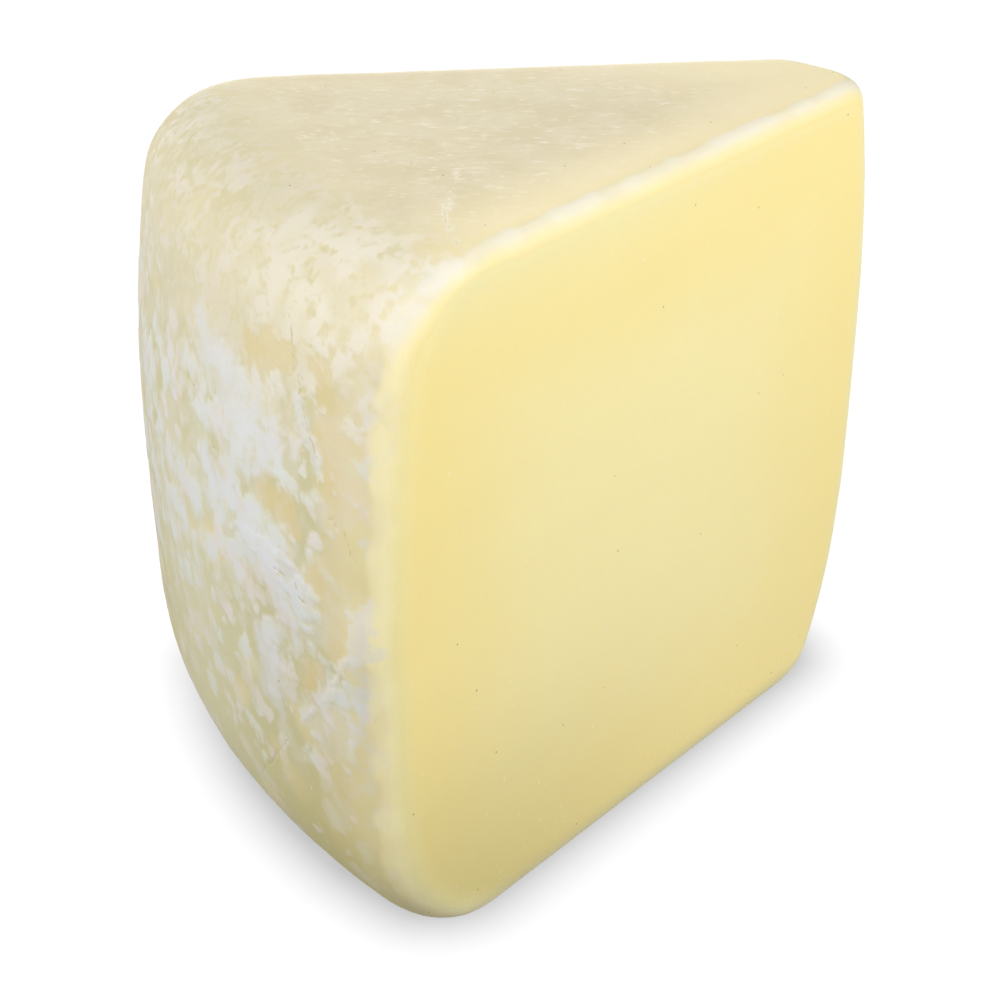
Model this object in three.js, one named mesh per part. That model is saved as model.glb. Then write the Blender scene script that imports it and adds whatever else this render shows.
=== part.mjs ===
// Fresh pecorino chunk: an eighth of a small wheel of sheep's milk cheese, with the thin tip trimmed off.
// Millimetres, +Z up along the wheel's axis. The shown cut faces -Y, the tip points along +X and the rind
// is on the -X side. The origin lies on the resting face, under the middle of the chunk's box.
// The solid is lofted through level outlines, each worked out from the wheel's side, the cuts and the tip.
import * as THREE from "three";

// Driving dimensions of the wheel
const HEIGHT = 85;
const WHEEL_RADIUS = 99;
const TOP_RIM_RADIUS = 9.8;
const BOTTOM_RIM_RADIUS = 20.4;
const BELLY_TOP = 4.5; // how far the side leans in from its belly to the top
const BELLY_BOTTOM = 1.4; // and from its belly to the bottom

// Driving dimensions of the cuts
const WEDGE_ANGLE = THREE.MathUtils.degToRad(43.2);
const TIP_NEAR = 8.6; // from the wheel's axis to the trimmed tip, along the near cut
const TIP_FAR = 12.1; // and along the far cut
const TIP_LEAN_TOP = 4.4; // how far the soft tip is pressed back at its top
const TIP_LEAN_BOTTOM = 9.1; // and at its bottom
const TIP_LEAN_POWER = 3;
const TOP_EDGE_RADIUS = 2.5; // the cuts' soft edges
const BOTTOM_EDGE_RADIUS = 5.5;
const CORNER_RADIUS = 4.6; // the upright edges between the cuts, the rind and the tip

// The cheese's own unevenness, as waves drawn from a seeded rule
const UNEVEN_DEPTH = 0.34; // largest rise or dip of the rind
const CUT_UNEVENNESS = 0.3; // the cuts' share of that depth
const UNEVEN_WAVES = 7;
const UNEVEN_WAVELENGTHS = [24, 62];
const UNEVEN_SEED = 20;
const RESTING_FADE = 14; // height over which the unevenness fades out towards the flat resting face
const RANDOM_FACTOR = 1664525;
const RANDOM_STEP = 1013904223;
const RANDOM_RANGE = 2 ** 32;

// Torn flakes of the rind that stand proud: the middle of each, as its turn in degrees from the near cut and
// its height, then its half length round the wheel, its half height, its climb per length and its rise
const FLAKES = [
  { turn: 10, height: 49, length: 7.5, tall: 3.4, climb: 0.35, rise: 0.45 },
  { turn: 2, height: 45.5, length: 3, tall: 5.5, climb: 0, rise: 0.3 },
  { turn: 17, height: 67.5, length: 7, tall: 4, climb: 0.25, rise: 0.3 },
  { turn: 15, height: 60, length: 6, tall: 4, climb: 0.2, rise: 0.3 },
];
const FLAKE_EDGE = 0.6; // share of a flake that slopes down to the rind
const FLAKE_DEPTH = 8; // how far inside the wheel's side a flake still lifts a point

// The paste's colour and dull shine
const PASTE_COLOUR = 0xf3e6ad;
const PASTE_ROUGHNESS = 0.55;

// Steps of the loft
const CUT_STEPS = 18;
const RIND_STEPS = 36;
const CORNER_STEPS = 5;
const TIP_STEPS = 3;
const EDGE_LEVELS = 5;
const BOTTOM_RIM_LEVELS = 7;
const BELLY_LEVELS = 20;
const TOP_RIM_LEVELS = 5;
const FACE_RINGS = 5;

const QUARTER_TURN = Math.PI / 2;
const FULL_TURN = 2 * Math.PI;

// Plan directions, with the wheel's axis at the plan's origin and the near cut along -X
const NEAR_INWARD = new THREE.Vector2(0, 1);
const FAR_ALONG = new THREE.Vector2(-Math.cos(WEDGE_ANGLE), Math.sin(WEDGE_ANGLE));
const FAR_INWARD = new THREE.Vector2(-FAR_ALONG.y, FAR_ALONG.x);
const TIP_NEAR_POINT = new THREE.Vector2(-TIP_NEAR, 0);
const TIP_FAR_POINT = FAR_ALONG.clone().multiplyScalar(TIP_FAR);
const TIP_ALONG = TIP_FAR_POINT.clone().sub(TIP_NEAR_POINT).normalize();
const TIP_INWARD = new THREE.Vector2(-TIP_ALONG.y, TIP_ALONG.x);

// How far a round edge stands back at a distance from the face that it runs into.
function roundEdgeInset(distance, radius) {
  if (distance >= radius) return 0;
  return radius - Math.sqrt(radius ** 2 - (radius - distance) ** 2);
}

// The wheel's side stands back from its largest radius by its belly and its two rims.
function sideInset(z) {
  const fromMiddle = (2 * z) / HEIGHT - 1;
  const lean = fromMiddle > 0 ? BELLY_TOP : BELLY_BOTTOM;
  const rims = roundEdgeInset(HEIGHT - z, TOP_RIM_RADIUS) + roundEdgeInset(z, BOTTOM_RIM_RADIUS);
  return lean * fromMiddle ** 2 + rims;
}

function cutInset(z) {
  return roundEdgeInset(HEIGHT - z, TOP_EDGE_RADIUS) + roundEdgeInset(z, BOTTOM_EDGE_RADIUS);
}

function tipInset(z) {
  const fromMiddle = (2 * z) / HEIGHT - 1;
  const lean = fromMiddle > 0 ? TIP_LEAN_TOP : TIP_LEAN_BOTTOM;
  return lean * Math.abs(fromMiddle) ** TIP_LEAN_POWER + cutInset(z);
}

// The point at given distances inside two straight sides.
function insideBoth(inwardA, distanceA, inwardB, distanceB) {
  const cross = inwardA.cross(inwardB);
  return new THREE.Vector2(
    (distanceA * inwardB.y - distanceB * inwardA.y) / cross,
    (distanceB * inwardA.x - distanceA * inwardB.x) / cross,
  );
}

function angleOf(vector) {
  return (Math.atan2(vector.y, vector.x) + FULL_TURN) % FULL_TURN;
}

function cornerArc(centre, from, to) {
  return new THREE.ArcCurve(centre.x, centre.y, CORNER_RADIUS, from, to, false);
}

function lineBetween(before, after) {
  return new THREE.LineCurve(before.getPoint(1), after.getPoint(0));
}

// The level outline at a height, anticlockwise from the near cut's rind end: each side with its steps and
// its share of the unevenness.
function outlineAt(z) {
  const side = WHEEL_RADIUS - sideInset(z);
  const cut = cutInset(z) + CORNER_RADIUS;
  const tip = TIP_NEAR_POINT.dot(TIP_INWARD) + tipInset(z) + CORNER_RADIUS;
  const nearTipCentre = insideBoth(NEAR_INWARD, cut, TIP_INWARD, tip);
  const farTipCentre = insideBoth(FAR_INWARD, cut, TIP_INWARD, tip);
  const alongCut = Math.sqrt((side - CORNER_RADIUS) ** 2 - cut ** 2);
  const nearRindCentre = new THREE.Vector2(-alongCut, cut);
  const farRindCentre = FAR_ALONG.clone().multiplyScalar(alongCut).addScaledVector(FAR_INWARD, cut);

  const nearOut = -QUARTER_TURN;
  const tipOut = angleOf(TIP_INWARD.clone().negate());
  const farOut = angleOf(FAR_INWARD.clone().negate());
  const tipOutFromNear = tipOut > Math.PI ? tipOut - FULL_TURN : tipOut;
  const farRindOut = angleOf(farRindCentre);
  const nearRindOut = angleOf(nearRindCentre);

  const nearTip = cornerArc(nearTipCentre, nearOut, tipOutFromNear);
  const farTip = cornerArc(farTipCentre, tipOutFromNear, farOut);
  const farRind = cornerArc(farRindCentre, farOut, farRindOut);
  const rind = new THREE.ArcCurve(0, 0, side, farRindOut, nearRindOut, false);
  const nearRind = cornerArc(nearRindCentre, nearRindOut, nearOut + FULL_TURN);

  return [
    [lineBetween(nearRind, nearTip), CUT_STEPS, CUT_UNEVENNESS],
    [nearTip, CORNER_STEPS, CUT_UNEVENNESS],
    [lineBetween(nearTip, farTip), TIP_STEPS, CUT_UNEVENNESS],
    [farTip, CORNER_STEPS, CUT_UNEVENNESS],
    [lineBetween(farTip, farRind), CUT_STEPS, CUT_UNEVENNESS],
    [farRind, CORNER_STEPS, 1],
    [rind, RIND_STEPS, 1],
    [nearRind, CORNER_STEPS, 1],
  ];
}

// The outline as a ring of points, without the doubled point where two sides meet.
function ringAt(z) {
  return outlineAt(z).flatMap(([curve, steps, share]) =>
    curve
      .getPoints(steps)
      .slice(0, -1)
      .map((p) => ({ point: new THREE.Vector3(p.x, p.y, z), share })),
  );
}

// Heights of the rings: close together on the round edges, and even up the side.
function ringHeights() {
  const heights = [];
  for (let i = 0; i < EDGE_LEVELS; i++) {
    heights.push(BOTTOM_EDGE_RADIUS * (1 - Math.cos((QUARTER_TURN * i) / EDGE_LEVELS)));
  }
  const stretches = [
    [BOTTOM_EDGE_RADIUS, BOTTOM_RIM_RADIUS, BOTTOM_RIM_LEVELS],
    [BOTTOM_RIM_RADIUS, HEIGHT - TOP_RIM_RADIUS, BELLY_LEVELS],
    [HEIGHT - TOP_RIM_RADIUS, HEIGHT - TOP_EDGE_RADIUS, TOP_RIM_LEVELS],
  ];
  for (const [low, high, levels] of stretches) {
    for (let i = 0; i < levels; i++) heights.push(THREE.MathUtils.lerp(low, high, i / levels));
  }
  for (let i = 0; i <= EDGE_LEVELS; i++) {
    heights.push(HEIGHT - TOP_EDGE_RADIUS * (1 - Math.sin((QUARTER_TURN * i) / EDGE_LEVELS)));
  }
  return heights;
}

// Smaller copies of a ring, from the given ring in towards its middle, to fill the face inside it.
function faceRings(ring, middle) {
  return Array.from({ length: FACE_RINGS - 1 }, (_, i) => {
    const shrink = (i + 1) / FACE_RINGS;
    return ring.map(({ point }) => ({ point: point.clone().lerp(middle, shrink), share: 1 }));
  });
}

function middleOf(ring) {
  const sum = ring.reduce((total, { point }) => total.add(point), new THREE.Vector3());
  return sum.divideScalar(ring.length);
}

// A closed surface through the rings, from the middle of the resting face to the middle of the top.
function loft(rings, bottomMiddle, topMiddle) {
  const around = rings[0].length;
  const points = [bottomMiddle, ...rings.flat().map(({ point }) => point), topMiddle];
  const last = points.length - 1;
  const at = (ring, i) => 1 + ring * around + (i % around);
  const triangles = [];
  for (let i = 0; i < around; i++) {
    triangles.push(0, at(0, i + 1), at(0, i));
    for (let ring = 0; ring < rings.length - 1; ring++) {
      const [a, b] = [at(ring, i), at(ring, i + 1)];
      const [c, d] = [at(ring + 1, i + 1), at(ring + 1, i)];
      triangles.push(a, b, c, a, c, d);
    }
    triangles.push(at(rings.length - 1, i), at(rings.length - 1, i + 1), last);
  }
  const geometry = new THREE.BufferGeometry().setFromPoints(points);
  geometry.setIndex(triangles);
  geometry.computeVertexNormals();
  return geometry;
}

// Random numbers from 0 to 1 that come out the same on each run.
function seededRandom(seed) {
  let state = seed;
  return () => {
    state = (Math.imul(state, RANDOM_FACTOR) + RANDOM_STEP) >>> 0;
    return state / RANDOM_RANGE;
  };
}

// Plane waves of mixed length and direction, whose sum stays within one either way.
function drawWaves() {
  const random = seededRandom(UNEVEN_SEED);
  return Array.from({ length: UNEVEN_WAVES }, () => {
    const turn = random() * FULL_TURN;
    const rise = 2 * random() - 1;
    const level = Math.sqrt(1 - rise ** 2);
    const length = THREE.MathUtils.lerp(...UNEVEN_WAVELENGTHS, random());
    const direction = new THREE.Vector3(level * Math.cos(turn), level * Math.sin(turn), rise);
    return { wave: direction.multiplyScalar(FULL_TURN / length), phase: random() * FULL_TURN };
  });
}

function unevenness(point, waves) {
  const sum = waves.reduce((total, { wave, phase }) => total + Math.sin(wave.dot(point) + phase), 0);
  return sum / waves.length;
}

// How far the torn flakes lift a point: the most that any of them does, and nothing away from the rind.
function flakeRise(point) {
  const round = Math.atan2(point.y, -point.x) * WHEEL_RADIUS;
  const inward = WHEEL_RADIUS - Math.hypot(point.x, point.y);
  const onRind = 1 - THREE.MathUtils.smoothstep(inward, 0, FLAKE_DEPTH);
  const rises = FLAKES.map(({ turn, height, length, tall, climb, rise }) => {
    const along = round - THREE.MathUtils.degToRad(turn) * WHEEL_RADIUS;
    const above = point.z - height - climb * along;
    const fromMiddle = Math.hypot(along / length, above / tall);
    return rise * (1 - THREE.MathUtils.smoothstep(fromMiddle, 1 - FLAKE_EDGE, 1));
  });
  return onRind * Math.max(...rises);
}

// Moves each point along its normal by the unevenness, which leaves the resting face flat, and by the flakes.
function roughen(geometry, shares) {
  const waves = drawWaves();
  const position = geometry.getAttribute("position");
  const normal = geometry.getAttribute("normal");
  const point = new THREE.Vector3();
  const outward = new THREE.Vector3();
  for (let i = 0; i < position.count; i++) {
    point.fromBufferAttribute(position, i);
    outward.fromBufferAttribute(normal, i);
    const fade = THREE.MathUtils.smoothstep(point.z, 0, RESTING_FADE);
    const uneven = UNEVEN_DEPTH * shares[i] * fade * unevenness(point, waves);
    point.addScaledVector(outward, uneven + flakeRise(point));
    position.setXYZ(i, point.x, point.y, point.z);
  }
  geometry.computeVertexNormals();
}

function makeChunk() {
  const sideRings = ringHeights().map(ringAt);
  const [bottomRing, topRing] = [sideRings[0], sideRings.at(-1)];
  const [bottomMiddle, topMiddle] = [middleOf(bottomRing), middleOf(topRing)];
  const rings = [
    ...faceRings(bottomRing, bottomMiddle).reverse(),
    ...sideRings,
    ...faceRings(topRing, topMiddle),
  ];
  const geometry = loft(rings, bottomMiddle, topMiddle);
  roughen(geometry, [1, ...rings.flat().map(({ share }) => share), 1]);
  geometry.computeBoundingBox();
  const centre = geometry.boundingBox.getCenter(new THREE.Vector3());
  const paste = new THREE.MeshStandardMaterial({
    color: PASTE_COLOUR,
    roughness: PASTE_ROUGHNESS,
    metalness: 0,
  });
  const chunk = new THREE.Mesh(geometry, paste);
  chunk.name = "pecorino_chunk";
  chunk.position.set(-centre.x, -centre.y, 0);
  return chunk;
}

const cheese = new THREE.Group();
cheese.add(makeChunk());

export default cheese;
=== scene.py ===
# %% [markdown]
# # A chunk of fresh pecorino
# The object is one piece of cheese, about an eighth of a small wheel: a barrel-sided rind with white bloom
# on it, a flat beige top, smooth yellow cuts and a trimmed tip. Its solid comes packed as a fixed frame in
# metres. The chunk could be modelled again from nothing, but the frame already has the true form and size,
# so this lesson only gives that form a living surface: fine relief first, then colour.

# %% The frame
import math

import bmesh
import bpy
import numpy as np
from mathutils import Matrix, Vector, geometry, kdtree, noise


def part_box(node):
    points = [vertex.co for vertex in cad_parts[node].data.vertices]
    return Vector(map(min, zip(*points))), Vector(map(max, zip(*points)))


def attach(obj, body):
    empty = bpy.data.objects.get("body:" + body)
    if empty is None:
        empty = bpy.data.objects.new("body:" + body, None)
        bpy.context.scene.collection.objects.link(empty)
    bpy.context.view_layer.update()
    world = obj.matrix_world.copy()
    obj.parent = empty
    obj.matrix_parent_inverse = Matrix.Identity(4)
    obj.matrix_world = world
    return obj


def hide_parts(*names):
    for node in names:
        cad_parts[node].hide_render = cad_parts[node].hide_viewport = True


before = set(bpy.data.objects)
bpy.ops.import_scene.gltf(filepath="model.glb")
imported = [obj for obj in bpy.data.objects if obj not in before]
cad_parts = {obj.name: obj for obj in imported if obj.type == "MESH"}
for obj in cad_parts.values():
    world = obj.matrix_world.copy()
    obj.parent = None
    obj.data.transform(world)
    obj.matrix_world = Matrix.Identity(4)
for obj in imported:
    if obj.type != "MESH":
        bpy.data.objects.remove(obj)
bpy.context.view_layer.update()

CHUNK = "pecorino_chunk"
MM = 0.001
LOW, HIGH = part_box(CHUNK)
scene = bpy.context.scene
print("the chunk in mm:", [round(side / MM, 1) for side in HIGH - LOW])

# %% [markdown]
# ## Where things are on a wheel
# Everything on the rind is easiest to place as a cheesemaker would: how far round the wheel from the shown
# cut, and how high. The wheel's axis stands in the plane of that cut, a little beyond the trimmed tip, so
# the frame's box gives its place.

# %% The wheel
WHEEL_RADIUS = 99 * MM
TIP_TRIM = 8.6 * MM  # from the tip to the wheel's axis
WEDGE_ANGLE = math.radians(43.2)
AXIS = np.array([HIGH.x + TIP_TRIM, LOW.y])
FAR_OUT = np.array([math.sin(WEDGE_ANGLE), math.cos(WEDGE_ANGLE), 0])  # the way the far cut faces


def rind_places(points):
    """Each point's way round the wheel from the near cut and its height, in mm."""
    across = points[:, :2] - AXIS
    round_wheel = np.arctan2(across[:, 1], -across[:, 0]) * WHEEL_RADIUS
    return np.column_stack([round_wheel, points[:, 2]]) / MM


def inward(points):
    """How far each point is in from the wheel's widest round, in mm."""
    return (WHEEL_RADIUS - np.linalg.norm(points[:, :2] - AXIS, axis=1)) / MM


def from_cuts(points):
    """How far each point is from the plane of the nearer long cut, in mm."""
    return np.minimum(points[:, 1] - LOW.y, -(points[:, :2] - AXIS) @ FAR_OUT[:2]) / MM


print("the wheel's axis in mm:", (AXIS / MM).round(1))

# %% [markdown]
# ## The camera
# A real camera is described by where it stands, what it looks at and its lens. Those were found by fitting
# the solid's outline to the picture. A camera could be turned by hand with Euler angles, but a tracking
# quaternion from camera to target says the same thing without any angles to get wrong.

# %% Camera
TARGET = Vector((-5.2, -14.0, 40.0)) * MM
CAMERA_TURN = math.radians(-49.12)  # to the left of straight on to the near cut
CAMERA_RISE = math.radians(29.62)
CAMERA_DISTANCE = 244.5 * MM
LENS = 73.71  # mm, for a sensor 36 mm wide
NEAREST_SEEN = 10 * MM

level = math.cos(CAMERA_RISE)
back = Vector((math.sin(CAMERA_TURN) * level, -math.cos(CAMERA_TURN) * level, math.sin(CAMERA_RISE)))
camera = bpy.data.objects.new("camera", bpy.data.cameras.new("camera"))
camera.data.lens = LENS
camera.data.clip_start = NEAREST_SEEN
camera.location = TARGET + back * CAMERA_DISTANCE
camera.rotation_euler = back.to_track_quat("Z", "Y").to_euler()
scene.collection.objects.link(camera)
scene.camera = camera
print("the camera stands", round(camera.location.z / MM), "mm above the floor")

# %% [markdown]
# ## Sums on sockets
# Light and finish are arithmetic on masks and colours. Written node by node it would take hundreds of
# lines, so one small class wraps a socket and lets Python's own operators add the Math nodes. Any other
# node comes from its one method, and a colour is always mixed by a Mix node, because a Math node would turn
# it grey.

# %% Shade


class Shade:
    """A socket of a node tree, on which sums can be written as on numbers."""

    tree = None

    def __init__(self, socket):
        self.socket = socket

    @classmethod
    def node(cls, kind, settings=None, sockets=None, output=0):
        """Adds a node: its settings first, then values or links for its sockets."""
        made = cls.tree.nodes.new(kind)
        for name, value in (settings or {}).items():
            setattr(made, name, value)
        for name, value in (sockets or {}).items():
            if isinstance(value, cls):
                cls.tree.links.new(value.socket, made.inputs[name])
            else:
                made.inputs[name].default_value = value
        return cls(made.outputs[output])

    @classmethod
    def math(cls, operation, *values):
        """Adds a Math node for one sum."""
        return cls.node("ShaderNodeMath", {"operation": operation}, dict(enumerate(values)))

    def __add__(self, other):
        return self.math("ADD", self, other)

    def __radd__(self, other):
        return self.math("ADD", other, self)

    def __sub__(self, other):
        return self.math("SUBTRACT", self, other)

    def __rsub__(self, other):
        return self.math("SUBTRACT", other, self)

    def __mul__(self, other):
        return self.math("MULTIPLY", self, other)

    def __rmul__(self, other):
        return self.math("MULTIPLY", other, self)

    def step(self, low, high):
        """0 below low, 1 above high and a smooth rise between."""
        ends = {"Value": self, "From Min": low, "From Max": high}
        return self.node("ShaderNodeMapRange", {"interpolation_type": "SMOOTHSTEP"}, ends)

    def feed(self, owner, name):
        """Links this to a socket of a node that is already there."""
        self.tree.links.new(self.socket, owner.inputs[name])


MIX_A, MIX_B, MIX_COLOUR = 6, 7, 2  # where a Mix node keeps its colours


def mixed(first, second, share):
    """The first colour, and the second by its share."""
    sockets = {0: share, MIX_A: first, MIX_B: second}
    return Shade.node("ShaderNodeMix", {"data_type": "RGBA"}, sockets, MIX_COLOUR)


def paint(red, green, blue):
    """A colour as a picture gives it, from 0 to 255, in the light's own scale, by the standard curve."""
    parts = [part / 255 for part in (red, green, blue)]
    return (*[p / 12.92 if p <= 0.04045 else ((p + 0.055) / 1.055) ** 2.4 for p in parts], 1)


print("an orange of the picture is", [round(part, 2) for part in paint(255, 165, 0)], "in light")

# %% [markdown]
# ## Light
# The light is a white studio: soft boxes close by in front, to the left and behind. Small lights would give
# hard shadows, so each is more than twice as wide as the cheese is high. The room itself could light the
# cheese evenly, but that looks flat, so it stays dim, and only the camera sees it white. The standard view
# shows colours as they are, without a film's curve.

# %% Light
scene.view_settings.view_transform = "Standard"
ROOM_LIGHT = 0.24
WHITE = 1.04  # what the camera sees of it, a little more than white

room = bpy.data.worlds.new("room")
room.use_nodes = True
scene.world = room
Shade.tree = room.node_tree
background = room.node_tree.nodes["Background"]
background.inputs["Color"].default_value = (1, 1, 1, 1)
seen = Shade.node("ShaderNodeLightPath", output="Is Camera Ray")
(ROOM_LIGHT + (WHITE - ROOM_LIGHT) * seen).feed(background, "Strength")


def soft_box(name, place, aim, size, power):
    """A square soft light, in metres and watts."""
    light = bpy.data.objects.new(name, bpy.data.lights.new(name, "AREA"))
    light.data.size = size
    light.data.energy = power
    light.location = place
    light.rotation_euler = (Vector(place) - Vector(aim)).to_track_quat("Z", "Y").to_euler()
    light.visible_camera = False
    scene.collection.objects.link(light)


SOFT_BOXES = [  # name, where it stands, what it is turned to, width and power
    ("front", (0.05, -0.26, 0.18), (0.01, -0.03, 0.06), 0.20, 0.48),
    ("front_right", (0.18, -0.26, 0.14), (0.02, -0.03, 0.05), 0.20, 0.16),
    ("left", (-0.24, -0.10, 0.22), (-0.03, -0.03, 0.06), 0.22, 0.42),
    ("left_back", (-0.20, 0.16, 0.17), (-0.04, 0, 0.05), 0.22, 0.36),
    ("back", (0.26, 0.26, 0.14), (0, 0.01, 0.05), 0.25, 0.9),
]
for box in SOFT_BOXES:
    soft_box(*box)

# %% [markdown]
# ## Marks on the rind
# Where the dry rind was scraped, white flakes stand up from it, and fine cracks run beside them. Elsewhere
# a cloth smeared the bloom, left a thin veil of it, or pressed a fatty stain into the rind. They could be
# painted on by noise alone, but the eye knows the large ones, so each is set out one by one as a chain of
# points with a half width, like a stroke of a brush.

# %% Marks
# Each point: way round the wheel, height, half width, in mm
FLAKES = [
    [(25, 50.6, 0.4), (21, 50.6, 1.3), (18, 50.6, 1.6), (14.5, 49.8, 2.0), (12, 48.4, 2.0),
     (11.2, 46.4, 1.2)],
    [(2.2, 51.2, 0.3), (3.0, 49, 0.8), (3.3, 47, 1.3), (3.4, 45.2, 1.5)],
    [(4.7, 49.4, 0.4), (3.6, 48.6, 0.7)],
    [(5.5, 43.4, 0.5), (4.0, 44.2, 0.8), (1.2, 45.1, 0.5)],
    [(5.5, 43.3, 0.5), (6.6, 40.6, 0.4), (8.6, 36.9, 0.7), (9.6, 35.4, 0.4)],
    [(10.8, 34.4, 0.3), (13.4, 31.4, 0.3)],
    [(13.4, 69.6, 0.8), (11.2, 66, 1.0), (9.2, 63, 0.7)],
]
SMEARS = [
    [(34.5, 71, 1.5), (31, 69, 2.2), (27, 67.6, 2.2), (23.4, 66.8, 1.4)],
    [(27.5, 63.6, 1.8), (22, 63.2, 2.6), (18.5, 63, 1.8), (20.2, 60, 1.2)],
    [(32.5, 55.4, 1.2), (29, 53.6, 1.6), (27, 53.4, 1.0)],
    [(25.5, 55, 1.0), (22, 52.4, 1.6), (18, 51, 2.2)],
    [(19.4, 39, 2.2), (18.8, 35, 2.6), (18.8, 31.6, 1.6)],
    [(3.8, 42.4, 1.2), (2.2, 41.4, 1.5), (1.5, 40.2, 1.0)],
    [(2.8, 82.6, 0.7), (1.3, 83.4, 0.9), (0.5, 83.9, 0.7)],
    [(1.5, 31.9, 0.7), (1.6, 31.2, 0.8)],
    [(1.5, 24.3, 0.9), (1.6, 23.6, 0.9)],
    [(4.8, 34.9, 0.8), (4.9, 34.4, 0.8)],
]
VEILS = [
    [(35, 69, 4), (28, 65, 6), (20.5, 64, 5)],
    [(30, 52, 3), (22, 50, 5), (14, 47, 4)],
]
STAINS = [
    [(23, 71.8, 1.8), (16.4, 73.2, 2.2)],
    [(10.4, 73.6, 1.4), (8.4, 71, 1.8)],
    [(7.4, 67.4, 1.8), (5.9, 62.6, 2.6)],
    [(18.6, 57.4, 1.6), (14.6, 56.4, 2.4)],
    [(8.8, 51, 1.6), (6.4, 48.8, 1.8), (7, 44, 1.4)],
    [(10, 40, 1.4), (12, 37, 1.6)],
]
CRACKS = [
    [(16.5, 77.2, 0), (15.3, 75.8, 0), (14.7, 74, 0), (14.4, 71.9, 0)],
    [(13.3, 72, 0), (13.2, 70.2, 0)],
    [(12.7, 68.9, 0), (11.3, 66.7, 0), (9.5, 64.3, 0)],
    [(5.4, 58.1, 0), (3.9, 55.3, 0)],
    [(8.1, 58.8, 0), (7.1, 59.1, 0), (6.3, 58.3, 0)],
    [(16.2, 49.6, 0), (14.6, 49.2, 0)],
    [(12.9, 49.2, 0), (12.6, 48.4, 0)],
    [(12.2, 47.8, 0), (11.4, 47.3, 0)],
    [(16.4, 27.2, 0), (24.5, 17.2, 0)],
]
# Each point: across the top along X and Y, half width of the crumbs beside it, in mm
FISSURE = [
    [(-16.3, -17.8, 0.6), (-19, -19.8, 0.3), (-21.2, -21.4, 0.3), (-24, -23.1, 0.8), (-25.8, -24.5, 0.5),
     (-28.2, -27.5, 0.4), (-30.1, -30.1, 0.1)],
]


def chain_distance(places, chain):
    """How far each place is outside a chain's outline, in mm: less than nothing inside it."""
    nearest = np.full(len(places), np.inf)
    for start, end in zip(chain, chain[1:]):
        start, end = np.array(start, float), np.array(end, float)
        along = end[:2] - start[:2]
        share = np.clip((places - start[:2]) @ along / (along @ along), 0, 1)
        middle = start[:2] + share[:, None] * along
        half_width = start[2] + share * (end[2] - start[2])
        nearest = np.minimum(nearest, np.linalg.norm(places - middle, axis=1) - half_width)
    return nearest


def chains_distance(places, chains):
    """How far each place is outside the nearest of some chains."""
    return np.min([chain_distance(places, chain) for chain in chains], axis=0)


print(len(FLAKES), "flakes,", len(SMEARS), "smears,", len(VEILS), "veils,", len(CRACKS), "cracks")

# %% [markdown]
# ## A skin fine enough for relief
# The solid has facets some millimetres wide, too coarse for bloom and flakes. Subdividing it would keep the
# facets' pattern, so a voxel remesh lays an even net of squares over it instead. A gentle relaxing of the
# net then takes the facets' edges out without shrinking the form. On the rind, where slanting light would
# still show them, a longer evening rounds them off and gives the slow curves back what it took from them.

# %% Remesh
VOXEL = 0.8 * MM
RELAX_IN, RELAX_OUT = 0.5, -0.52  # a step that shrinks the bumps, and one that swells the form back
RELAX_ROUNDS, ROUND_OFF_ROUNDS = 60, 56
# Where the rind is rounded off, in mm: away from the cuts, above the foot and not far in on the top
AWAY_FROM_CUTS = 4, 10
ABOVE_FOOT = 8, 16
FAR_IN = 22, 32


def smooth_step(values, low, high):
    """0 below low, 1 above high and a smooth rise between."""
    share = np.clip((values - low) / (high - low), 0, 1)
    return share * share * (3 - 2 * share)


def read_points(mesh):
    flat = np.empty(len(mesh.vertices) * 3)
    mesh.vertices.foreach_get("co", flat)
    return flat.reshape(-1, 3)


def read_normals(mesh):
    flat = np.empty(len(mesh.vertices) * 3)
    mesh.vertex_normals.foreach_get("vector", flat)
    return flat.reshape(-1, 3)


def read_edges(mesh):
    flat = np.empty(len(mesh.edges) * 2, dtype=int)
    mesh.edges.foreach_get("vertices", flat)
    return flat.reshape(-1, 2)


def neighbour_mean(values, edges):
    """The mean of each point's neighbours."""
    total = np.zeros_like(values)
    np.add.at(total, edges[:, 0], values[edges[:, 1]])
    np.add.at(total, edges[:, 1], values[edges[:, 0]])
    count = np.bincount(edges.ravel(), minlength=len(values))
    return total / count.reshape(-1, *[1] * (values.ndim - 1))


def evened(values, edges, rounds):
    """The values, each drawn halfway to its neighbours' mean, round after round."""
    for _ in range(rounds):
        values = 0.5 * (values + neighbour_mean(values, edges))
    return values


def relax(mesh, rounds):
    """Takes small bumps out of a mesh and keeps its form, and its foot on the table."""
    points, edges = read_points(mesh), read_edges(mesh)
    for _ in range(rounds):
        for step in (RELAX_IN, RELAX_OUT):
            points += step * (neighbour_mean(points, edges) - points)
    points[:, 2] = np.maximum(points[:, 2], 0)
    mesh.vertices.foreach_set("co", points.ravel())
    mesh.update()


def round_off(mesh, rounds):
    """Evens the rind's facets out, and gives its slow curves back what that took from them."""
    points, edges = read_points(mesh), read_edges(mesh)
    taken = points - evened(points, edges, rounds)
    share = smooth_step(from_cuts(points), *AWAY_FROM_CUTS) * smooth_step(points[:, 2] / MM, *ABOVE_FOOT)
    share *= 1 - smooth_step(inward(points), *FAR_IN)
    points += share[:, None] * (evened(taken, edges, rounds) - taken)
    mesh.vertices.foreach_set("co", points.ravel())
    mesh.update()


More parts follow.
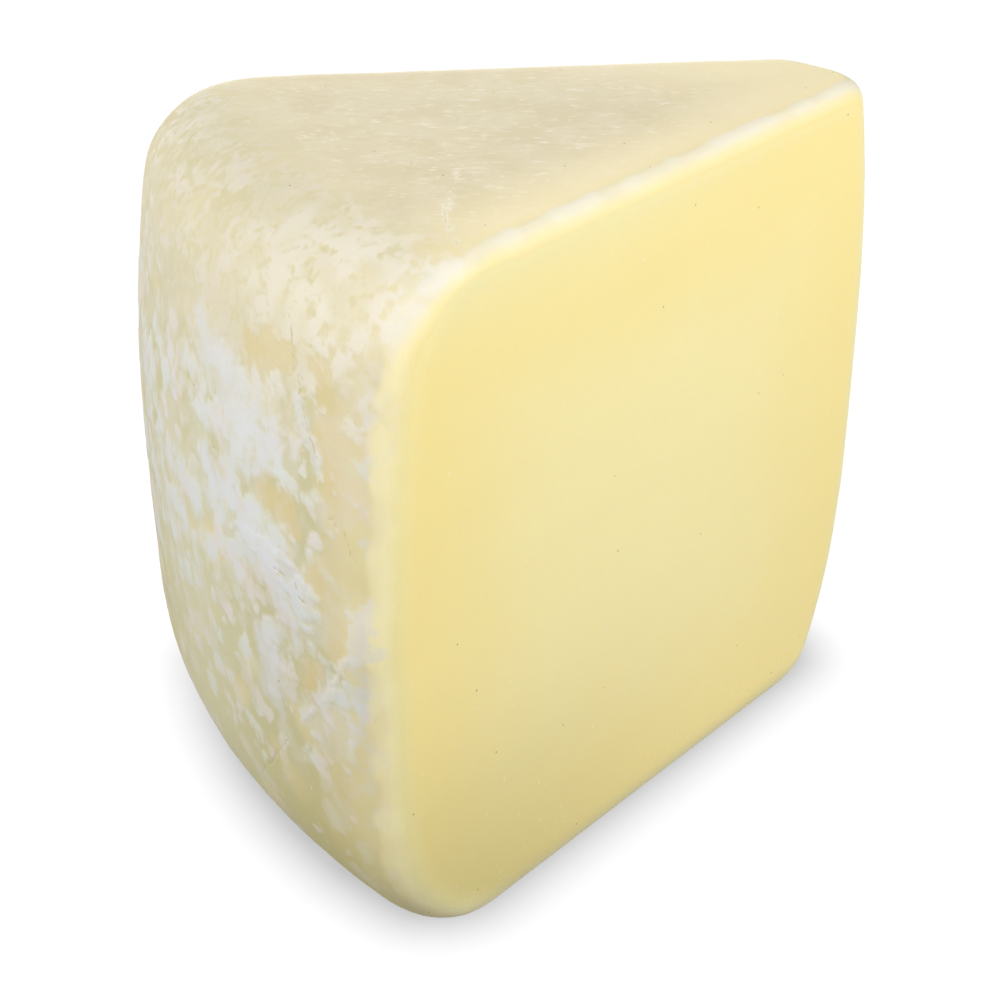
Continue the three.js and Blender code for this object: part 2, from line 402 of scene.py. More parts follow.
cheese = bpy.data.objects.new("cheese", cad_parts[CHUNK].data.copy())
scene.collection.objects.link(cheese)
cheese.data.materials.clear()
remesh = cheese.modifiers.new("even net", "REMESH")
remesh.mode = "VOXEL"
remesh.voxel_size = VOXEL
evaluated = cheese.evaluated_get(bpy.context.evaluated_depsgraph_get())
skin = bpy.data.meshes.new_from_object(evaluated)
cheese.modifiers.clear()
cheese.data = skin
relax(skin, RELAX_ROUNDS)
round_off(skin, ROUND_OFF_ROUNDS)
spread = read_points(skin)  # even places all over it, about one to each VOXEL squared
print("squares after the remesh:", len(skin.polygons))

# %% [markdown]
# ## Smaller squares where there is relief
# Bloom frays in tenths of a millimetre, and a crack is finer still. A net as fine as that all over would be
# heavy and slow, and smooth cuts don't need it. So the bloomy part of the rind has its squares halved once,
# and the places of flakes and cracks once or twice more.

# %% Smaller squares
RIND_DEPTH = 14  # mm in from the wheel's widest round
FLAKE_REACH = 0.6  # mm outside a flake
CRACK_REACH = 0.4
FLAT_DEPTH = 0.3  # nearer than this to a cut's plane, in mm, the skin is flat
BARE_HEIGHT = 12 * MM  # hardly any bloom grows lower down
TOP_ZONE = HIGH.z - 4 * MM  # a point above this is on the top
SETTLE_ROUNDS = 4


def refine(mesh, wanted):
    """Halves the squares whose middles are wanted."""
    middles = np.empty(len(mesh.polygons) * 3)
    mesh.polygons.foreach_get("center", middles)
    chosen = np.flatnonzero(wanted(middles.reshape(-1, 3)))
    net = bmesh.new()
    net.from_mesh(mesh)
    net.faces.ensure_lookup_table()
    edges = {edge for i in chosen for edge in net.faces[i].edges}
    bmesh.ops.subdivide_edges(net, edges=list(edges), cuts=1, use_grid_fill=True)
    net.to_mesh(mesh)
    net.free()


def on_rind(points):
    return inward(points) < RIND_DEPTH


def on_relief(points):
    """On the rind, but neither on the flat of a cut nor on the bare foot."""
    return on_rind(points) & (from_cuts(points) > FLAT_DEPTH) & (points[:, 2] > BARE_HEIGHT)


def near_flakes(points):
    return on_rind(points) & (chains_distance(rind_places(points), FLAKES) < FLAKE_REACH)


def near_cracks(points):
    in_side = on_rind(points) & (chains_distance(rind_places(points), CRACKS) < CRACK_REACH)
    in_top = (points[:, 2] > TOP_ZONE) & (chains_distance(points[:, :2] / MM, FISSURE) < FLAKE_REACH)
    return in_side | in_top


refine(skin, on_relief)
relax(skin, SETTLE_ROUNDS)
refine(skin, near_flakes)
refine(skin, near_cracks)
skin.calc_loop_triangles()
print("triangles of the skin:", len(skin.loop_triangles))

# %% [markdown]
# ## Cut or rind
# A knife leaves flat faces and the wheel's own skin is the rest, so the way a point faces tells which it
# belongs to. The distance from the line between the two tells the rest: cheese dries and pales along its
# edges, where a painted highlight and glow lie too, and is yellowest just inside them.

# %% Cut, rind and rim
NEAR_OUT, TIP_OUT = np.array([0, -1, 0]), np.array([1, 0, 0])  # the ways the near cut and the tip face
CUT_EDGE = 0.64  # how squarely a point faces that way where a cut ends
FACING_ROUNDS = 3

points, normals, edges = read_points(skin), read_normals(skin), read_edges(skin)


def distance_to(chosen):
    """How far each point is from the nearest of the chosen ones, in mm."""
    tree = kdtree.KDTree(int(chosen.sum()))
    for i, point in enumerate(points[chosen]):
        tree.insert(point, i)
    tree.balance()
    return np.array([tree.find(point)[2] for point in points]) / MM


upright = evened(normals[:, 2], edges, FACING_ROUNDS)
cut_facings = [evened(normals @ out, edges, FACING_ROUNDS) for out in (NEAR_OUT, FAR_OUT, TIP_OUT)]
facing = np.max(cut_facings, axis=0)
from_rim = -distance_to(facing > CUT_EDGE)
for cut_facing in cut_facings:
    inside = (cut_facing > CUT_EDGE) & (cut_facing >= facing)
    from_rim = np.where(inside, distance_to(~inside), from_rim)
print("deepest point of a cut, mm from the rim:", from_rim.max().round(1))

# %% [markdown]
# ## A mist of bloom
# Young rinds carry a thin white bloom that rubs off in patches. An even coat would look like flour, so a
# sum of noises says how much is left: most on the upper rim and under the veils, and little low down. The
# noises are read at bent places, because a noise that bends the space of another gives patches with bays
# and tongues. The top was wiped and has bloom only along its round edge.

# %% Mist
# Noises that bend the space: their size and how far they bend it, in mm, and a shift for each axis
BENDS = [(2.4, 1.1, (11.3, 27.1, 43.7)), (0.9, 0.5, (17.9, 33.3, 49.2))]
VEIL_EDGE = -2.5, 1.5  # mm inside its outline, over which a veil fades in
MIST_HEIGHTS = 4, 18, 34, 50, 66, 80  # mm above the table
MIST_SHARES = -0.7, -0.4, -0.15, 0.05, 0.15, 0.25
FAR_ROUND = 28, 46  # mm round the wheel, where there is more of it
WIPED = 9, 26  # mm in from the wheel's round, where the wiped top begins
TOWARDS_CUT = 0.3, 0.75  # how squarely a point faces a cut's way where bloom ends


def noise_of(places, size, shift):
    """Smooth noise between about -1 and 1, with features of the given size in mm."""
    moved = places / (size * MM) + shift
    return np.array([noise.noise(place) for place in moved.tolist()])


places = rind_places(points)
round_wheel, height = places.T
on_side = on_rind(points)
bend = sum(
    np.column_stack([noise_of(points, size, shift) for shift in shifts]) * far for size, far, shifts in BENDS
)
bent = points + bend * MM
veil = smooth_step(-chains_distance(places, VEILS), *VEIL_EDGE) * on_side
wiped_off = smooth_step(inward(points), *WIPED) * (upright > 0)
bloom = noise_of(bent, 4.5, 5.5) + 0.5 * noise_of(bent, 2.2, 9.2) + 0.3 * noise_of(points, 9, 2.4)
bloom += np.interp(height, MIST_HEIGHTS, MIST_SHARES) + 0.35 * veil
bloom += 0.15 * smooth_step(round_wheel, *FAR_ROUND)
bloom -= 0.9 * wiped_off + 0.45 * smooth_step(facing, *TOWARDS_CUT)
on_bare_rind = on_side & (facing < CUT_EDGE)
print("share of the rind in the mist:", (bloom[on_bare_rind] > 0).mean().round(2))

# %% [markdown]
# ## Colonies
# Thicker spots stand in the mist, each grown from one place. Equal discs would look stamped, so a seeded
# generator picks places among the even points of the net and draws a size for each, the same ones every
# time, and their outlines are bent like the mist. They are densest under the veils and rare low down. On
# the upper rim they have grown into one fine film, which again is a noise.

# %% Colonies
COLONY_SEED = 7
COLONY_SIZES = 0.5, 1.6  # mm, radius
COLONY_REACH = 2.6  # mm, more than any colony's radius
# How likely a colony is at a point, by its height and by its way round the wheel, in mm
CHANCE_HEIGHTS = 4, 18, 34, 50, 62, 74
CHANCES = 0.01, 0.03, 0.08, 0.1, 0.12, 0.14
CHANCE_ROUND = 3, 10, 20, 34, 50
CHANCE_SHARES = 0.6, 0.9, 1.3, 0.9, 0.6
BARE_TOP = 12, 28  # mm in from the wheel's round
# How colonies grow or shrink, by height and by the way round the wheel
GROWTH_HEIGHTS, GROWTH = (18, 40, 56, 74), (0.75, 1, 1, 0.7)
GROWTH_ROUND, GROWTH_SHARES = (20, 45), (1, 1.4)
FILM_HEIGHTS = 62, 74
FILM_GAINS, FILM_FADES = (4, 16), (22, 44)  # mm round the wheel

random = np.random.default_rng(COLONY_SEED)
seed_places = rind_places(spread)
chance = np.interp(seed_places[:, 1], CHANCE_HEIGHTS, CHANCES)
chance *= 1 + 1.5 * smooth_step(-chains_distance(seed_places, VEILS), *VEIL_EDGE)
chance *= np.interp(seed_places[:, 0], CHANCE_ROUND, CHANCE_SHARES)
chance *= 1 - smooth_step(inward(spread), *BARE_TOP) * (spread[:, 2] > TOP_ZONE)
seeds = spread[random.random(len(spread)) < chance]
sizes = np.exp(random.uniform(*np.log(COLONY_SIZES), len(seeds)))
sizes *= np.interp(seeds[:, 2] / MM, GROWTH_HEIGHTS, GROWTH)
sizes *= np.interp(rind_places(seeds)[:, 0], GROWTH_ROUND, GROWTH_SHARES)
seed_tree = kdtree.KDTree(len(seeds))
for i, seed in enumerate(seeds):
    seed_tree.insert(seed, i)
seed_tree.balance()


def colony_at(point):
    """How far inside a colony a point is, in mm."""
    found = seed_tree.find_range(point, COLONY_REACH * MM)
    return max([sizes[i] - distance / MM for _, i, distance in found], default=-COLONY_REACH)


colony = np.array([colony_at(point) for point in bent])
film = 0.85 * noise_of(bent, 1.6, 14.1) + 0.85 * noise_of(bent, 0.8, 21.7)
film += 0.15 + 0.2 * smooth_step(round_wheel, *FILM_GAINS) - 0.3 * smooth_step(round_wheel, *FILM_FADES)
colony += smooth_step(height, *FILM_HEIGHTS) * (film - colony)
colony -= 1.5 * wiped_off
covered = (colony[on_bare_rind] > 0).mean()
print(len(seeds), "colonies, share of the rind under them:", covered.round(2))

# %% [markdown]
# ## Frayed outlines
# The strokes set out above have smooth outlines, which nothing on a real rind has. More points to each
# stroke would be long work, so a noise taken from the distance to it frays it instead: a coarse one for
# smears and stains, a finer one for torn flakes. A crack stays thin and only wanders sideways. On the top a
# fissure has crumbs beside it.

# %% Smears, stains, flakes and cracks
OUTSIDE = -9.0  # mm, for points that a mark can't reach
WANDER = 0.35  # mm
CRACK_WIDTH = 0.15  # mm each way
STAIN_EDGE = -0.8, 0.8  # mm inside its outline, over which a stain keeps colonies off

ragged = 0.5 * noise_of(points, 1.4, 6.3) + 0.25 * noise_of(points, 0.6, 1.7)
blotchy = 1.3 * noise_of(points, 2.4, 3.1) + 0.7 * noise_of(points, 1.0, 8.6)
smear = np.where(on_side, -chains_distance(places, SMEARS) - blotchy, OUTSIDE)
stain = np.where(on_side, -chains_distance(places, STAINS) - blotchy, OUTSIDE)
colony -= 0.8 * smooth_step(stain, *STAIN_EDGE)
torn = np.where(on_side, -chains_distance(places, FLAKES) - ragged, OUTSIDE)
wander = np.column_stack([noise_of(points, 1.4, shift) for shift in (15.2, 31.9)]) * WANDER
crack = np.where(on_side, -chains_distance(places + wander, CRACKS), OUTSIDE)

on_top = points[:, 2] > TOP_ZONE
ground = points[:, :2] / MM + wander
crumbs = np.where(on_top, -chains_distance(ground, FISSURE) - 0.6 * np.abs(ragged), OUTSIDE)
bare_line = [[(x, y, 0) for x, y, _ in chain] for chain in FISSURE]
crack = np.maximum(crack, np.where(on_top, -chains_distance(ground, bare_line), OUTSIDE))
torn = np.maximum(torn, crumbs)
print("points on flakes:", int((torn > 0).sum()), "and in cracks:", int((crack > -CRACK_WIDTH).sum()))

# %% [markdown]
# ## Relief
# The relief is small: bloom and flakes rise and cracks sink by less than a tenth of a millimetre, on rind
# with slow waves as low. The cuts keep only the faint waves of the wire. Displacement in the finish would
# be lost when the mesh is exported, so each point itself is moved along its normal. The resting face stays
# flat.

# %% Move the skin
BLOOM_RISE = 0.07 * MM
FLAKE_RISE = 0.07 * MM
CRACK_DEPTH = 0.08 * MM
RIND_WAVES = 0.05 * MM
CUT_WAVES = 0.04 * MM
# How far inside its outline, in mm, each mark begins and ends to rise or sink
COLONY_SLOPE, SMEAR_SLOPE = (-0.15, 0.3), (-0.5, 0.5)
FLAKE_SLOPE, CRACK_SLOPE = (-0.3, 0.5), (-0.2, 0)
WIRE_STRETCH = np.array([0.25, 0.25, 1])  # long waves along the cut, short ones up it
RIND_FACES, CUT_FACES = 0.5, 0.78  # how squarely rind and cut at most and at least face a cut's way
LOW_BLOOM = (16, 44), (0.4, 1)  # heights in mm, and how much of its rise the bloom has there
NEAR_CUT = -5, -1  # mm from the rim, where the rind's marks flatten out
NEAR_TABLE = 0, 3  # mm, where all relief does

rind_share = 1 - smooth_step(facing, RIND_FACES, CUT_FACES)
waves = noise_of(points, 7, 12.8) + 0.4 * noise_of(points, 2.6, 19.4)
wire = noise_of(points * WIRE_STRETCH, 5, 7.7)
lift = BLOOM_RISE * np.maximum(smooth_step(colony, *COLONY_SLOPE), smooth_step(smear, *SMEAR_SLOPE))
lift *= np.interp(height, *LOW_BLOOM)
lift += FLAKE_RISE * smooth_step(torn, *FLAKE_SLOPE) - CRACK_DEPTH * smooth_step(crack, *CRACK_SLOPE)
lift *= 1 - smooth_step(from_rim, *NEAR_CUT)
lift += RIND_WAVES * rind_share * waves + CUT_WAVES * (1 - rind_share) * wire
lift *= smooth_step(height, *NEAR_TABLE)
moved = points + normals * lift[:, None]
moved[:, 2] = np.maximum(moved[:, 2], 0)
skin.vertices.foreach_set("co", moved.ravel())
skin.update()
skin.polygons.foreach_set("use_smooth", np.ones(len(skin.polygons), dtype=bool))


def store(name, values):
    """Keeps a number for each point of the skin, for the finish to read."""
    attribute = skin.attributes.new(name, "FLOAT", "POINT")
    attribute.data.foreach_set("value", values.astype(np.float32))


for name, values in (
    ("cut_face", facing),
    ("from_rim", from_rim),
    ("upright", upright),
    ("inward", inward(points)),
    ("bloom", bloom),
    ("colony", colony),
    ("smear", smear),
    ("stain", stain),
    ("torn", torn),
    ("crack", crack),
    ("cloud", noise_of(points, 9, 37.2)),
    ("patch", noise_of(points, 3.5, 51.6)),
    ("olive", noise_of(points, 6, 60.9)),
    ("tint", noise_of(points, 5, 72.5)),
    ("wobble", noise_of(points, 1.8, 83.1)),
):
    store(name, values)
print("relief from", (lift.min() / MM).round(2), "to", (lift.max() / MM).round(2), "mm")

# %% [markdown]
# ## Floor
# The chunk stands on a white table and darkens it only close by. A lit floor would need a very even light
# to stay white, so this one glows by itself, and the soft shade is a sum: each point of a fine net knows
# how far it lies outside the outline of the chunk's lowest part, moved a little away from the light, and
# glows less the nearer it is, down to a deepest shade.

# %% Floor
FLOOR_HALF = 2.0  # metres from the middle to a side
NET_HALF, NET_STEPS = 0.1, 140  # the fine net in the middle of it
FOOT_HEIGHT = 2.4 * MM  # how high the lowest part reaches
SIDE_POINTS = 40  # on each side of the outline
SHADE_SHIFT = Vector((4.1, 7.2)) * MM  # how far the light from the front left moves the shade
SHADE_REACH = 15.3  # mm from the outline, where the shade ends
SHADE_FALL = 0.0046  # light lost for each square mm of the way in from there
SHADE_DEEPEST = 0.56  # the least glow that is left

foot_points = [Vector(point[:2]) + SHADE_SHIFT for point in moved[moved[:, 2] < FOOT_HEIGHT]]
outline = [foot_points[i] for i in geometry.convex_hull_2d(foot_points)]
shade_tree = kdtree.KDTree(len(outline) * SIDE_POINTS)
sides = list(zip(outline, outline[1:] + outline[:1]))
for i, (start, end) in enumerate(sides):
    for k in range(SIDE_POINTS):
        shade_tree.insert(start.lerp(end, k / SIDE_POINTS).to_3d(), i)
shade_tree.balance()


def floor_glow(x, y):
    """How bright a place on the floor is, from its distance outside the outline."""
    place = Vector((x, y))
    inside = all((end - start).cross(place - start) >= 0 for start, end in sides)
    away = shade_tree.find(place.to_3d())[2] / MM * (-1 if inside else 1)
    return max(WHITE - SHADE_FALL * max(SHADE_REACH - away, 0) ** 2, SHADE_DEEPEST)


ticks = [-FLOOR_HALF, *np.linspace(-NET_HALF, NET_HALF, NET_STEPS + 1).tolist(), FLOOR_HALF]
row = len(ticks)
net_points = [(x, y, 0) for y in ticks for x in ticks]
net_faces = [
    (i + j * row, i + 1 + j * row, i + 1 + (j + 1) * row, i + (j + 1) * row)
    for j in range(row - 1) for i in range(row - 1)
]
floor_mesh = bpy.data.meshes.new("floor")
floor_mesh.from_pydata(net_points, [], net_faces)
glow = floor_mesh.attributes.new("glow", "FLOAT", "POINT")
glow.data.foreach_set("value", [floor_glow(x, y) for x, y, _ in net_points])
floor = bpy.data.objects.new("floor", floor_mesh)
floor.visible_diffuse = False
floor.visible_shadow = False
scene.collection.objects.link(floor)
table = bpy.data.materials.new("white_table")
table.use_nodes = True
table.cycles.emission_sampling = "NONE"  # it lights nothing, so no ray has to look for it
Shade.tree = table.node_tree
bright = Shade.node("ShaderNodeAttribute", {"attribute_name": "glow"}, output="Fac")
white = Shade.node("ShaderNodeEmission", {}, {"Strength": bright})
white.feed(table.node_tree.nodes["Material Output"], "Surface")
floor_mesh.materials.append(table)
area = sum(start.cross(end) for start, end in sides) / 2
print("floor:", 2 * FLOOR_HALF, "m, outline of", len(outline), "points,", round(area / MM**2), "mm2")

# %% [markdown]
# ## What the finish reads
# Paste, rind and top grow into each other, so one finish colours them all. It could be a picture laid over
# unwrapped faces, but that is only as sharp as the picture. Instead it reads the numbers kept at the points
# of the skin, such as the distance from the rim, and adds noise that is too fine for the net.

# %% Marks of the skin
finish = bpy.data.materials.new("cheese_finish")
finish.use_nodes = True
Shade.tree = finish.node_tree
here = Shade.node("ShaderNodeTexCoord", output="Object")
along_here = Shade.node("ShaderNodeSeparateXYZ", {}, {0: here}, "X") * (1 / MM)
across_here = Shade.node("ShaderNodeSeparateXYZ", {}, {0: here}, "Y") * (1 / MM)
height_here = Shade.node("ShaderNodeSeparateXYZ", {}, {0: here}, "Z") * (1 / MM)


def skin_mark(name):
    """A number kept at the points of the skin."""
    return Shade.node("ShaderNodeAttribute", {"attribute_name": name}, output="Fac")


def grain(size, detail, roughness=0.5, place=here):
    """Noise from 0 to 1 with features of the given size in mm."""
    sockets = {"Vector": place, "Scale": 1 / (size * MM), "Detail": detail, "Roughness": roughness}
    return Shade.node("ShaderNodeTexNoise", {}, sockets)


def specks(spacing, radius):
    """1 on grains of the given radius in mm that lie in the surface, about one to a cell of the spacing."""
    sockets = {"Vector": here, "Scale": 1 / (spacing * MM)}
    apart = Shade.node("ShaderNodeTexVoronoi", {"feature": "F1"}, sockets, "Distance")
    return 1 - apart.step(0.5 * radius / spacing, radius / spacing)


def stretched(turn, scale):
    """The place along turned axes, on which noise comes out longer by the scale."""
    turn = tuple(math.radians(angle) for angle in turn)
    settings = {"vector_type": "TEXTURE"}
    return Shade.node("ShaderNodeMapping", settings, {"Vector": here, "Rotation": turn, "Scale": scale})


cut_face, rim, upward, inwards = map(skin_mark, ("cut_face", "from_rim", "upright", "inward"))
bloomy, grown, smeared = map(skin_mark, ("bloom", "colony", "smear"))
stained, torn_up, cracked = map(skin_mark, ("stain", "torn", "crack"))
cloud, patch, olive, tint, wobble = map(skin_mark, ("cloud", "patch", "olive", "tint", "wobble"))
marks = [attribute.name for attribute in skin.attributes if attribute.data_type == "FLOAT"]
print("marks of the skin:", marks)

# %% [markdown]
# ## Paste
# The cut is butter yellow, paler in the middle and yellowest a few millimetres inside its edge. Towards the
# foot, most at the end by the rind, it is darker and duller, partly its own tone and partly painted shade.
# Tiny white flecks and strokes are crystals that the wire dragged. A single colour would look like plastic,
# so soft steps over the distance from the rim, the height and the way along the cut blend a few.

# %% Paste
PASTE_MIDDLE = paint(247, 233, 170)
PASTE_YELLOW = paint(248, 228, 152)
PASTE_PALE = paint(246, 236, 182)
# duller foot colour, darker also as a painted shade
PASTE_FOOT_AND_SHADE = paint(201, 188, 118)
FLECK = paint(250, 243, 212)
DRAG_TURN = 0, 20, 0  # degrees
DRAG_STRETCH = 1, 1, 2.2

# Steps over a distance are in mm, here and below
yellow = 1 - (rim + 3 * cloud).step(2, 30) * (1 - 0.35 * along_here.step(0, 40))
# painted shade with a duller tone: darker towards the foot, most at the end by the rind
foot = (1 - height_here.step(-6, 42)) * (1 - along_here.step(-50, 22))
paste = mixed(PASTE_MIDDLE, PASTE_YELLOW, yellow)
pale = height_here.step(72, 84) * (0.6 - 0.55 * along_here.step(-10, 30))
paste = mixed(paste, PASTE_PALE, pale)
paste = mixed(paste, PASTE_FOOT_AND_SHADE, foot)
dragged = stretched(DRAG_TURN, DRAG_STRETCH)
stroke = grain(0.8, 1, 0.5, dragged).step(0.72, 0.82)
fleck = specks(2.3, 0.2) * cloud.step(-0.2, 0.3)
paste = mixed(paste, FLECK, stroke * 0.6)
paste = mixed(paste, FLECK, fleck * 0.6)
print("nodes up to the paste:", len(finish.node_tree.nodes))

# %% [markdown]
# ## Rind
# Under the bloom the rind is beige and warmer where fat stained it. Low down it is darker, partly a duller
# tone and partly painted shade. Low on the far side it is paler and lighter, partly painted light.
# One colour with noise on it would look the same all round, so the height, the marks of the skin and the
# distance from the rim blend several. That distance is less than nothing on the rind.

# %% Rind
RIND = paint(226, 213, 167)
RIND_OLIVE = paint(209, 202, 158)
# a paler tone that is also painted light, low on the far side
RIND_FAR_AND_LIGHT = paint(218, 213, 175)
RIND_RIM = paint(222, 211, 170)
RIND_STAIN = paint(227, 207, 151)
# foot colour, darker also as a painted shade
RIND_FOOT_AND_SHADE = paint(198, 185, 113)
RIND_EDGE = paint(242, 229, 174)
UPPER_RIM = 58, 76  # mm above the table

fray = grain(0.7, 1) - 0.5
fine = grain(0.5, 1)
rim_height = height_here.step(*UPPER_RIM)
# painted light with a paler tone: lighter low on the far side, which the lamps light too little
far_side_and_light = (1 - rim.step(-36, -16)) * (1 - height_here.step(44, 64))
dullness = (olive + 0.35 - 0.55 * rim.step(-14, -4)).step(-0.2, 0.25)
# painted shade with a duller tone: darker low down, most near the cut
low_down_and_shade = (1 - height_here.step(3, 38)) * (0.45 + 0.55 * rim.step(-24, -8))
fatty = (stained + 2 * fray).step(-1.4, 1.6)
dry_edge = rim.step(-6, -0.5) * (0.7 - 0.4 * rim_height)
rind = mixed(RIND, mixed(RIND_OLIVE, RIND_FAR_AND_LIGHT, far_side_and_light), dullness)
rind = mixed(rind, RIND_RIM, rim_height * 0.7)
rind = mixed(rind, RIND_STAIN, fatty * 0.7)
rind = mixed(rind, RIND_FOOT_AND_SHADE, low_down_and_shade)
rind = mixed(rind, RIND_EDGE, dry_edge)
print("nodes up to the bare rind:", len(finish.node_tree.nodes))

# %% [markdown]
# ## Colour of the bloom
# Bloom is pinkish or greenish where it is thin and bluish where it is thick, and only cream on the upper
# rim. Painted by hand it would get softer edges than real bloom has, so each edge comes from a mark of the
# skin, with a finer noise to fray it. Flakes and cracks go on last, as they lie on top.

# %% Bloom on the rind
BLOOM_PINK = paint(233, 225, 215)
BLOOM_GREEN = paint(229, 230, 220)
BLOOM_CREAM = paint(228, 220, 200)
BLOOM_LIGHT = paint(236, 229, 211)
BLOOM_THICK = paint(227, 229, 232)
FLAKE = paint(236, 231, 219)
# dark olive of the cracks, partly painted shade in them
CRACK_DARK_AND_SHADE = paint(204, 190, 140)
NEAR_FLAKES = -9, -6  # mm from the rim, where flakes turn from bluish to cream

greenness = (tint + 0.25 * height_here.step(20, 44)).step(0, 0.4)
bloom_colour = mixed(BLOOM_PINK, BLOOM_GREEN, greenness)
cream = mixed(BLOOM_CREAM, BLOOM_LIGHT, rim.step(-30, -6))
bloom_colour = mixed(bloom_colour, cream, rim_height)
mist = (bloomy + 0.4 * fray).step(-0.35, 0.45)
thin = (grown + 0.6 * fray).step(-0.38, 0.4) * (0.45 + 0.55 * patch.step(-0.35, 0.25))
thick = (grown + 0.5 * bloomy + 0.5 * fray).step(0.4, 1.0) * (1 - rim_height) * height_here.step(26, 46)
wiped_on = (smeared + 1.5 * fray).step(-1.4, 1.4)
rind = mixed(rind, bloom_colour, mist * (0.36 - 0.16 * rim_height))
rind = mixed(rind, bloom_colour, thin * (0.55 + 0.33 * height_here.step(14, 40)))
rind = mixed(rind, BLOOM_THICK, thick * 0.5)
rind = mixed(rind, BLOOM_THICK, wiped_on * 0.5)
flaky = (torn_up + 0.8 * fray).step(-0.35, 0.3)
by_cut = rim.step(*NEAR_FLAKES)
rind = mixed(rind, mixed(BLOOM_THICK, FLAKE, by_cut), flaky * (0.5 + 0.2 * by_cut))
rind = mixed(rind, FLECK, stroke * 0.4)
# dark crack lines: partly darker olive rind, partly painted shade in the cracks and beside the flakes
crack_line_and_shade = cracked.step(-0.16, -0.04) * fine.step(0.42, 0.52)
rind = mixed(rind, CRACK_DARK_AND_SHADE, crack_line_and_shade * (1 - rim.step(-4, -1)) * 0.7)
print("nodes up to its bloom:", len(finish.node_tree.nodes))

# %% [markdown]
# ## Top
# The top was wiped while it was soft: fine level streaks, lighter and darker, on a beige ground with hardly
# any bloom left. Towards the cuts it dries yellower. Noise in all directions would look like felt, so it is
# read along axes that are turned to the strokes of the cloth and stretched.

# %% Top
TOP = paint(223, 210, 173)
TOP_LIGHT = paint(235, 224, 198)
TOP_DARK = paint(216, 202, 160)
TOP_YELLOW = paint(249, 234, 186)
TOP_SPOT = paint(239, 229, 209)
CRUMB = paint(240, 231, 208)
STROKE_TURN = 0, 0, -49  # degrees
STROKE_STRETCH = 1.9, 1, 1

wiped = stretched(STROKE_TURN, STROKE_STRETCH)
streak = grain(1.0, 2, 0.6, wiped)
top = mixed(TOP, TOP_DARK, olive.step(-0.1, 0.3) * 0.6)
top = mixed(top, TOP_LIGHT, streak.step(0.55, 0.68) * (0.3 + 0.4 * patch.step(-0.2, 0.3)))
top = mixed(top, TOP_DARK, (1 - streak).step(0.54, 0.68) * 0.6)
spots = grain(0.8, 1, 0.5, wiped).step(0.64, 0.76)
top = mixed(top, TOP_SPOT, spots * 0.7)
by_rim = rim.step(-13, -0.5) * (0.8 - 0.6 * across_here.step(-24, -10))
top = mixed(top, TOP_YELLOW, by_rim)
top = mixed(top, TOP_YELLOW, along_here.step(8, 38) * 0.8)
crumbly = (torn_up + 2 * (fine - 0.5)).step(-0.1, 0.5)
top = mixed(top, CRUMB, crumbly * 0.7)
on_flat = upward.step(0.86, 0.98) * inwards.step(8, 22)
rind = mixed(rind, top, on_flat)
# painted shade with the dark colour in the fissure on the top
rind = mixed(rind, CRACK_DARK_AND_SHADE, on_flat * crack_line_and_shade * 0.6)
print("nodes up to the top:", len(finish.node_tree.nodes))

# %% [markdown]
# ## One finish
# Where paste and rind meet, the cheese dries to a pale line, and a painted highlight and glow along it stand
# in for light on and through the rounded edge. It is broken here and there and weaker on the far side. Two
# finishes would meet in a hard seam, so how squarely the skin faces a cut's way says how much of each shows,
# made uneven by noise. A few dark specks lie all over.

# %% One finish
# pale edge colours: partly dried paste, partly painted highlight and painted glow
EDGE_SIDE_AND_HIGHLIGHT = paint(255, 242, 192)
EDGE_TOP_AND_HIGHLIGHT = paint(237, 231, 212)
EDGE_PASTE_AND_GLOW = paint(237, 232, 180)
EDGE_GLOW = paint(234, 219, 158)
SPECK = paint(160, 142, 90)

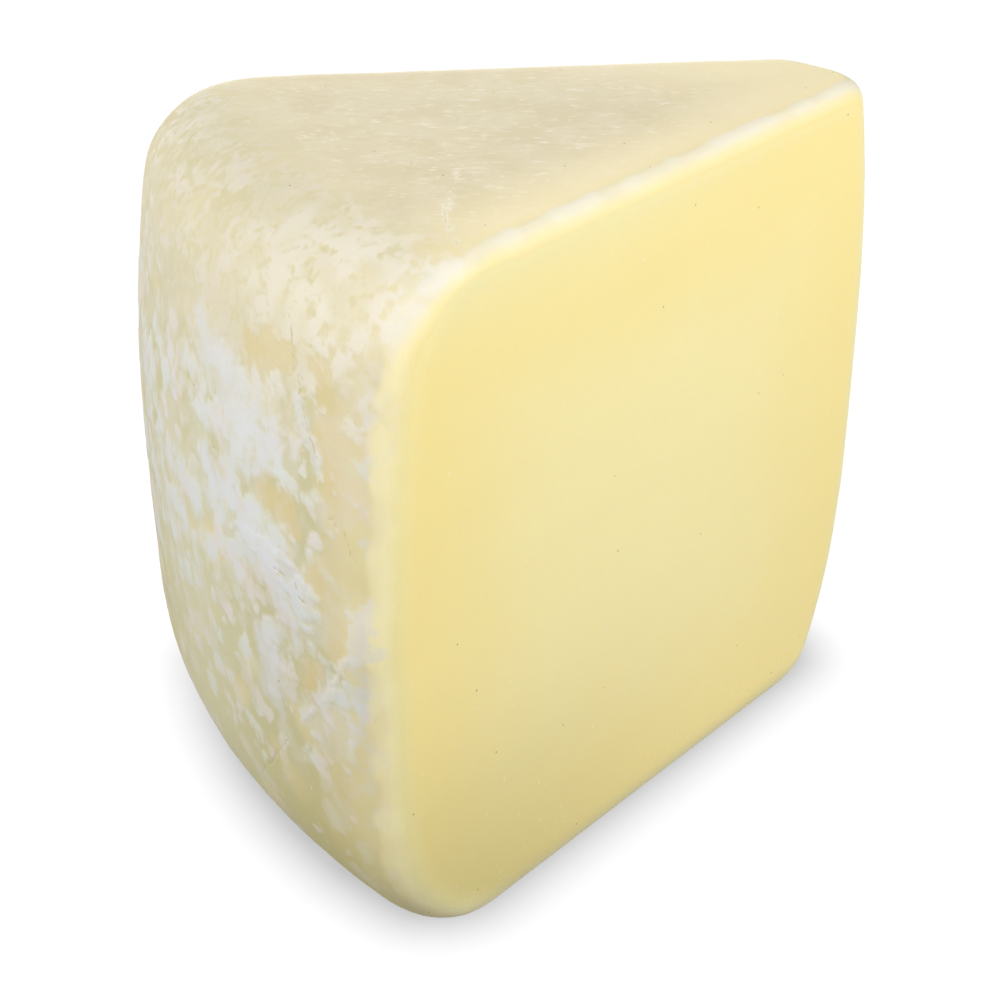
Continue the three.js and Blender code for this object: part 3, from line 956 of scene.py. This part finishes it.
# the pale line: partly dried paste, partly a painted highlight on the rounded edge and a painted glow just
# inside it
cut_edge = cut_face + 0.08 * wobble + 0.16 * patch
paste_share = cut_edge.step(0.6, 0.86)
facing_up = upward.step(0.15, 0.5)
edge_and_highlight_colour = mixed(EDGE_SIDE_AND_HIGHLIGHT, EDGE_TOP_AND_HIGHLIGHT, facing_up)
edge_and_highlight_share = (cut_edge + 0.1 * facing_up).step(0.34, 0.58) * (1 - (rim + 0.4 * facing_up).step(0.6, 2.5))
edge_and_highlight_share = edge_and_highlight_share * (0.7 + 0.3 * patch.step(-0.3, 0.15)) * (0.65 + 0.35 * height_here.step(6, 36))
edge_strength = 1 - 0.4 * across_here.step(-26, -18)
edge_paste_and_glow = mixed(EDGE_PASTE_AND_GLOW, EDGE_GLOW, upward.step(0.02, 0.15))
torn_edge = flaky * rim.step(-3, -0.5) * (1 - rim.step(0.8, 2)) * (1 - on_flat)
colour = mixed(paste, edge_paste_and_glow, (1 - rim.step(0.5, 5)) * edge_strength * 0.7)
colour = mixed(rind, colour, paste_share)
colour = mixed(colour, edge_and_highlight_colour, edge_and_highlight_share * edge_strength * 0.85)
colour = mixed(colour, FLAKE, torn_edge * 0.6)
colour = mixed(colour, SPECK, specks(4.4, 0.17) * 0.8)
print("nodes up to the colour:", len(finish.node_tree.nodes))

# %% [markdown]
# ## Sheen
# A fresh cut is a little greasy and shines softly, and bloom is as dull as chalk. In both some light goes
# under the surface and comes out beside it, which softens the shades. A coat over the colour could give the
# shine too, but one roughness that follows the paste and the bloom is simpler, with a fine bump to break it.

# %% Sheen
FIXED = {
    "Subsurface Weight": 0.25,
    "Subsurface Radius": (1.0, 0.7, 0.3),
    "Subsurface Scale": 2.5 * MM,
    "Specular IOR Level": 0.4,
}

bump = Shade.node("ShaderNodeBump", {}, {"Strength": 0.25, "Distance": 0.1 * MM, "Height": fine})
roughness = 0.62 - 0.14 * paste_share + 0.15 * thin * (1 - paste_share)
shader = finish.node_tree.nodes["Principled BSDF"]
for name, value in (("Base Color", colour), ("Roughness", roughness), ("Normal", bump)):
    value.feed(shader, name)
for name, value in FIXED.items():
    shader.inputs[name].default_value = value
skin.materials.append(finish)
print("nodes in the finish:", len(finish.node_tree.nodes))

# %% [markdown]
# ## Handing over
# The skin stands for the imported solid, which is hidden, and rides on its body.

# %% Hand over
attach(cheese, "root")
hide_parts(CHUNK)
